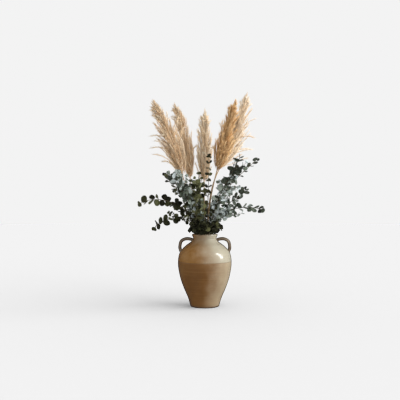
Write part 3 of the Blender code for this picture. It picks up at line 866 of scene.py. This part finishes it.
def add_leaves(work, base, outward, normal, size, tone, rng):
    """Rounded, cupped leaves: each a thin closed shell that grows outward from its base."""
    leaves = len(base)
    t = np.linspace(0, 1, LEAF_ROWS)
    v = np.linspace(-1, 1, LEAF_COLUMNS)
    half = np.maximum(np.sin(math.pi * t**0.88) ** 0.58, 0.07)
    plump = rng.uniform(0.50, 0.62, leaves) * size
    cup = rng.uniform(0.05, 0.30, leaves) * plump
    curl = rng.uniform(-0.12, 0.28, leaves) * size
    wave = rng.uniform(0.01, 0.06, leaves) * size
    phase = rng.uniform(0, math.tau, leaves)
    side = np.cross(normal, outward)

    def grid(values):
        return np.asarray(values)[:, None, None]

    tt, vv = t[None, :, None], v[None, None, :]
    reach = grid(size) * tt
    width = grid(plump) * half[None, :, None] * vv
    bow = grid(cup) * (vv * half[None, :, None]) ** 2 + grid(curl) * tt**2
    bow = bow + grid(wave) * np.sin(7 * tt + grid(phase)) * np.abs(vv)
    fold = -grid(size) * 0.020 * np.exp(-((vv / 0.10) ** 2)) * np.sin(math.pi * tt)
    middle = base[:, None, None] + outward[:, None, None] * reach[..., None]
    middle = middle + side[:, None, None] * width[..., None]
    middle = middle + normal[:, None, None] * (bow + fold)[..., None]
    near = np.hypot(middle[..., 0], middle[..., 1]) < LIP_RADIUS
    middle[..., 2] = np.where(near, np.maximum(middle[..., 2], LIP_HEIGHT), middle[..., 2])
    half_thick = normal[:, None, None] * (0.5 * LEAF_THICKNESS)
    points = np.stack((middle + half_thick, middle - half_thick), axis=1)

    index = np.arange(leaves * 2 * LEAF_ROWS * LEAF_COLUMNS)
    index = index.reshape(leaves, 2, LEAF_ROWS, LEAF_COLUMNS)
    rows = LEAF_TILES // 2
    tile_column = rng.integers(0, LEAF_TILES, leaves)
    tile_row = np.clip((tone * rows).astype(int), 0, rows - 1)
    shape = (leaves, LEAF_ROWS, LEAF_COLUMNS)
    across_u = TILE_EDGE + (1 - 2 * TILE_EDGE) * np.broadcast_to(tt, shape)
    across_v = TILE_EDGE + (1 - 2 * TILE_EDGE) * np.broadcast_to((vv + 1) / 2, shape)
    u = (grid(tile_column) + across_u) / LEAF_TILES
    face_v = (grid(tile_row) + across_v) / LEAF_TILES
    uv = np.stack((np.stack((u, face_v), -1), np.stack((u, face_v + 0.5), -1)), axis=1)
    flat_uv = uv.reshape(-1, 2)

    def quads(a, b, c, d):
        faces = np.stack((a, b, c, d), axis=-1).reshape(-1, 4)
        return faces, flat_uv[faces]

    def rim(line):
        top, under = index[:, 0][line], index[:, 1][line]
        faces = np.stack((top[:, :-1], under[:, :-1], under[:, 1:], top[:, 1:]), axis=-1)
        faces = faces.reshape(-1, 4)
        edge_uv = flat_uv[faces].copy()
        edge_uv[:, 1:3] = flat_uv[faces[:, (0, 3)]]
        return faces, edge_uv

    top, under = index[:, 0], index[:, 1]
    every = slice(None)
    work.add(
        points.reshape(-1, 3),
        [
            quads(top[:, :-1, :-1], top[:, 1:, :-1], top[:, 1:, 1:], top[:, :-1, 1:]),
            quads(under[:, :-1, :-1], under[:, :-1, 1:], under[:, 1:, 1:], under[:, 1:, :-1]),
            rim((every, every, 0)),
            rim((every, 0, slice(None, None, -1))),
            rim((every, slice(None, None, -1), -1)),
            rim((every, -1, every)),
        ],
    )


def twig_path(twig):
    entry, ahead, out = straight_run(twig.azimuth, TWIG_RING, TWIG_RAKE)
    bottom = on_run(entry, ahead, FOAM_TOP - TWIG_HOLE_DEPTH)
    start = on_run(entry, ahead, STRAIGHT_TOP)
    end = out * twig.reach + UP * twig.height
    fine = bend(start, ahead, end, tilted(out, twig.lean), BEND_POINTS)
    return bottom, fine, out


def leafy(work, line, place, size, tone, level, rng):
    """Opposite leaves in pairs at the distances `place` along a line, each pair turned from the last."""
    at = lengths_along(line)
    count = len(place)
    centre = sample(line, at, place)
    along = unit(sample(directions(line), at, place))
    across = unit(np.broadcast_to(level, along.shape) - along * (along @ level)[:, None])
    flat = np.cross(along, across)
    quarter = rng.uniform(0.3, 1.2) + math.pi / 2 * np.arange(count)[:, None]
    quarter = quarter + rng.normal(0, 0.15, (count, 1))
    ways = across * np.cos(quarter) + flat * np.sin(quarter)
    pairs = 2 * count
    base = np.concatenate((centre, centre))
    outward = np.concatenate((ways, -ways))
    tangent = np.concatenate((along, along))
    size = np.concatenate((size, size)) * rng.uniform(0.88, 1.08, pairs)
    raise_it = np.radians(rng.uniform(8, 34, pairs))[:, None]
    outward = outward * np.cos(raise_it) + tangent * np.sin(raise_it)
    outward = unit(outward + rng.normal(0, 0.10, (pairs, 3)))
    normal = unit(tangent - outward * np.sum(tangent * outward, axis=1, keepdims=True))
    pitch = np.radians(rng.uniform(30, 68, pairs))
    pitch = (pitch * np.where(rng.uniform(0, 1, pairs) < LEAVES_FACE_UP, 1, -1))[:, None]
    normal = unit(normal * np.cos(pitch) + np.cross(outward, normal) * np.sin(pitch))
    tone = np.concatenate((tone, tone)) + rng.normal(0, 0.22, pairs)
    add_leaves(work, base + outward * LEAF_FOOT, outward, normal, size, tone, rng)


def tip_leaves(work, line, size, tone, rng):
    """The last small pair of a twig, half folded together."""
    way = unit(directions(line)[-1] + rng.normal(0, 0.12, 3))
    normal = unit(np.cross(rng.normal(0, 1, 3), way))
    base = np.stack((line[-1], line[-1]))
    outward = unit(np.stack((way + normal * 0.5, way - normal * 0.5)))
    facing = unit(np.stack((normal - way * 0.5, -normal - way * 0.5)))
    add_leaves(work, base, outward, facing, np.full(2, size), np.full(2, tone), rng)


TWIG_RINGS = 70
TWIG_SIDES = 9
LEAF_GROWTH = 1.20
SMALLEST_LEAF = 0.010
# Distances along a bend of the pairs of leaves that lie over the mouth.
COLLAR = np.array((0.003, 0.011))
COLLAR_LEAF = 0.021
COLLAR_TONE = 0.15
# A shoot is bent towards its twig's chosen side by this much.
SHOOT_PULL = 0.9
SHOOT_POINTS = 14
SHOOT_SIDES = 6
SHOOT_RADIUS = 0.0012
SHOOT_TIP_RADIUS = 0.0007
SHOOT_FIRST_LEAF = 0.012
SHOOT_LEAF = 0.0225
SHOOT_LEAF_STEP = 0.0150


def shoot_line(foot, along, way, share, droop, rng):
    """A side shoot's points, from its foot on the twig, and its first direction and length."""
    lean = math.radians(rng.uniform(34, 52))
    first = unit(along * math.cos(lean) + way * math.sin(lean))
    length = rng.uniform(0.045, 0.080) * (1.15 - 0.5 * share - droop)
    end = foot + first * length + UP * (rng.uniform(-0.10, 0.25) - droop) * length
    end_way = unit(first + UP * (rng.uniform(-0.2, 0.6) - droop))
    line = bend(foot, first, end, end_way, SHOOT_POINTS)
    over_lip = np.hypot(line[:, 0], line[:, 1]) < LIP_RADIUS
    line[:, 2] = np.where(over_lip, np.maximum(line[:, 2], LIP_HEIGHT), line[:, 2])
    return line, first, length


def make_twig(twig, seed, bark, skins):
    """The main stem with its leaves, and the leafy side shoots of its lower part."""
    rng = np.random.default_rng(seed)
    bottom, fine, out = twig_path(twig)
    at = lengths_along(fine)
    whole = np.vstack((bottom, fine))
    whole_at = lengths_along(whole)
    share = np.linspace(0, 1, TWIG_RINGS)
    centres = sample(whole, whole_at / whole_at[-1], share)
    side = np.cross(UP, out)
    _, _, towards = straight_run(twig.azimuth if twig.side is None else twig.side, 0, 0)
    across, over = frames_beside(directions(centres), side[None])
    thinning = np.clip((share - 0.2) / 0.8, 0, 1)
    radii = TWIG_RADIUS + (TWIG_TIP_RADIUS * 0.8 - TWIG_RADIUS) * thinning
    wood, leaves = Patchwork(), Patchwork()
    add_tubes(wood, rings_about(centres, across, over, radii, TWIG_SIDES)[None], share[None])

    count = int((at[-1] - twig.first - 0.004) / twig.step) + 1
    place = twig.first + twig.step * np.arange(count)
    centre = sample(fine, at, place)
    taper = 1 - 0.12 * (place / at[-1]) ** 2
    room = np.maximum(np.linalg.norm(centre[:, :2], axis=1) * twig.room, SMALLEST_LEAF)
    size = np.minimum(twig.size * taper, room) * LEAF_GROWTH
    tone = twig.tone + (twig.tip - twig.tone) * place / at[-1]
    leafy(leaves, fine, place, size, tone, side, rng)
    size, tone = np.full(len(COLLAR), COLLAR_LEAF), np.full(len(COLLAR), COLLAR_TONE)
    leafy(leaves, fine, COLLAR, size, tone, side, rng)
    tip_leaves(leaves, fine, 0.75 * twig.size, twig.tip, rng)

    for k in range(twig.shoots):
        begin = at[-1] * (0.03 + twig.bushy * (k + rng.uniform(0.2, 0.8)) / twig.shoots)
        foot = sample(fine, at, np.array((begin,)))[0]
        along = unit(sample(directions(fine), at, np.array((begin,))))[0]
        spin = GOLDEN * k + rng.uniform(-0.4, 0.4) + 0.8
        beside = unit(side - along * (along @ side))
        way = beside * math.cos(spin) + np.cross(along, beside) * math.sin(spin)
        way = unit(way + SHOOT_PULL * towards)
        line, first, length = shoot_line(foot, along, way, begin / at[-1], twig.droop, rng)
        a, b = frames_beside(directions(line), rng.normal(0, 1, 3)[None])
        radii = np.linspace(SHOOT_RADIUS, SHOOT_TIP_RADIUS, SHOOT_POINTS)
        rings = rings_about(line, a, b, radii, SHOOT_SIDES)
        add_tubes(wood, rings[None], np.linspace(0, 1, SHOOT_POINTS)[None])
        where = np.arange(SHOOT_FIRST_LEAF, length - 0.003, SHOOT_LEAF_STEP)
        sizes = SHOOT_LEAF * rng.uniform(0.80, 1.10) * (1 - 0.3 * where / length)
        fading = (begin / at[-1]) ** 1.5
        tone = twig.tone + (twig.tip - twig.tone) * fading + rng.normal(0, 0.12)
        level = unit(np.cross(UP, first))
        leafy(leaves, line, where, sizes, np.full(len(where), tone), level, rng)
        tip_leaves(leaves, line, 0.5 * SHOOT_LEAF, twig.tone, rng)

    stem = wood.piece(twig.name + "_stem", bark)
    foliage = leaves.piece(twig.name + "_leaves", skins[twig.colour])
    for piece in (stem, foliage):
        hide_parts(twig.name)
        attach(piece, twig.name)


# ---- setting ----
CAMERA_PLACE = (-0.020, -2.6, 0.442)
CAMERA_LENS = 56
CAMERA_SENSOR = 36
GROUND_RADII = (0.3, 1.0, 2.0, 4.0, 9.0)
GROUND_SIDES = 96
GROUND_HEIGHT = -0.0006
# How bright the surroundings are to look at, to light the object, and in its reflections.
BACKDROP = 0.896
AMBIENT = 1.00
REFLECTED = 0.06
SOFTBOX = {"place": (1.60, -0.50, 1.10), "target": (0, 0, 0.40), "size": (2.6, 2.0), "power": 46}
WINDOW = {"place": (1.66, -0.50, 1.10), "target": (0, 0, 0.25), "size": (0.40, 1.25), "power": 15}
WINDOW_ROLL = 22


def make_camera():
    data = bpy.data.cameras.new("camera")
    data.lens = CAMERA_LENS
    data.sensor_width = CAMERA_SENSOR
    data.clip_end = 100
    camera = bpy.data.objects.new("camera", data)
    camera.location = CAMERA_PLACE
    camera.rotation_euler = (math.pi / 2, 0, 0)
    bpy.context.scene.collection.objects.link(camera)
    bpy.context.scene.camera = camera


def make_light(name, place, target, size, power, roll=0.0):
    """A rectangular lamp at `place`, aimed at `target` and rolled about its aim by degrees."""
    data = bpy.data.lights.new(name, "AREA")
    data.shape = "RECTANGLE"
    data.size, data.size_y = size
    data.energy = power
    light = bpy.data.objects.new(name, data)
    light.location = place
    aim = (Vector(target) - Vector(place)).to_track_quat("-Z", "Y")
    light.rotation_euler = (aim @ Quaternion((0, 0, 1), math.radians(roll))).to_euler()
    light.visible_camera = False
    bpy.context.scene.collection.objects.link(light)
    return light


def make_floor():
    """A pale floor that shows only the shadows on it, so that it has no horizon."""
    work = Patchwork()
    turn = math.tau * np.arange(GROUND_SIDES) / GROUND_SIDES
    radii = np.array(GROUND_RADII)[:, None]
    height = np.full((len(GROUND_RADII), GROUND_SIDES), GROUND_HEIGHT)
    rings = np.stack((radii * np.cos(turn), radii * np.sin(turn), height), axis=-1)
    index = np.arange(height.size).reshape(height.shape)
    turned = np.roll(index, -1, axis=1)
    quads = np.stack((index[:-1], index[1:], turned[1:], turned[:-1]), axis=-1).reshape(-1, 4)
    middle = index[:1]
    parts = [(faces, np.zeros((*faces.shape, 2))) for faces in (quads, middle)]
    work.add(rings.reshape(-1, 3), parts)
    paint = Paint("floor", Specular_IOR_Level=0.1)
    place = paint.place()
    speck = paint.noise(place, 40, 2)
    colour = paint.ramp(speck, (0.3, (0.60, 0.60, 0.60)), (0.7, (0.63, 0.63, 0.63)))
    material = paint.finish(colour, 0.9)
    floor = work.piece("floor", material)
    floor.visible_glossy = False
    floor.is_shadow_catcher = True


def make_surroundings():
    """A near-white backdrop, a softbox on the right, and a window that the glaze reflects."""
    world = bpy.data.worlds.new("studio")
    bpy.context.scene.world = world
    world.use_nodes = True
    nodes, links = world.node_tree.nodes, world.node_tree.links
    background = nodes["Background"]
    background.inputs["Color"].default_value = (1, 1, 1, 1)
    path = nodes.new("ShaderNodeLightPath")
    level = AMBIENT
    for ray, seen in (("Is Glossy Ray", REFLECTED), ("Is Camera Ray", BACKDROP)):
        step = nodes.new("ShaderNodeMix")
        links.new(path.outputs[ray], step.inputs["Factor"])
        step.inputs["B"].default_value = seen
        if isinstance(level, float):
            step.inputs["A"].default_value = level
        else:
            links.new(level, step.inputs["A"])
        level = step.outputs["Result"]
    links.new(level, background.inputs["Strength"])
    softbox = make_light("softbox", **SOFTBOX)
    softbox.visible_glossy = False
    window = make_light("window", **WINDOW, roll=WINDOW_ROLL)
    window.visible_diffuse = False
    bpy.context.scene.view_settings.view_transform = "Standard"


def main():
    make_camera()
    make_surroundings()
    make_floor()
    glaze = stoneware()
    make_vase(glaze)
    handles = handle_glaze()
    make_handle("handle_left", -1, handles)
    make_handle("handle_right", 1, handles)
    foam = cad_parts["foam_column"]
    foam.data.materials.clear()
    foam.data.materials.append(dry_foam())
    straw = cane_skin()
    fluffs = {tint: plume_fluff(tint) for tint in PLUME_TINTS}
    for k, cane in enumerate(CANES):
        make_cane(cane, straw)
        make_plume(cane, PLUME_SEED + k, fluffs[cane.tint])
    bark = twig_bark()
    leaves = {tint: leaf_skin(tint) for tint in LEAF_FACES}
    for k, twig in enumerate(TWIGS):
        make_twig(twig, TWIG_SEED + k, bark, leaves)


main()
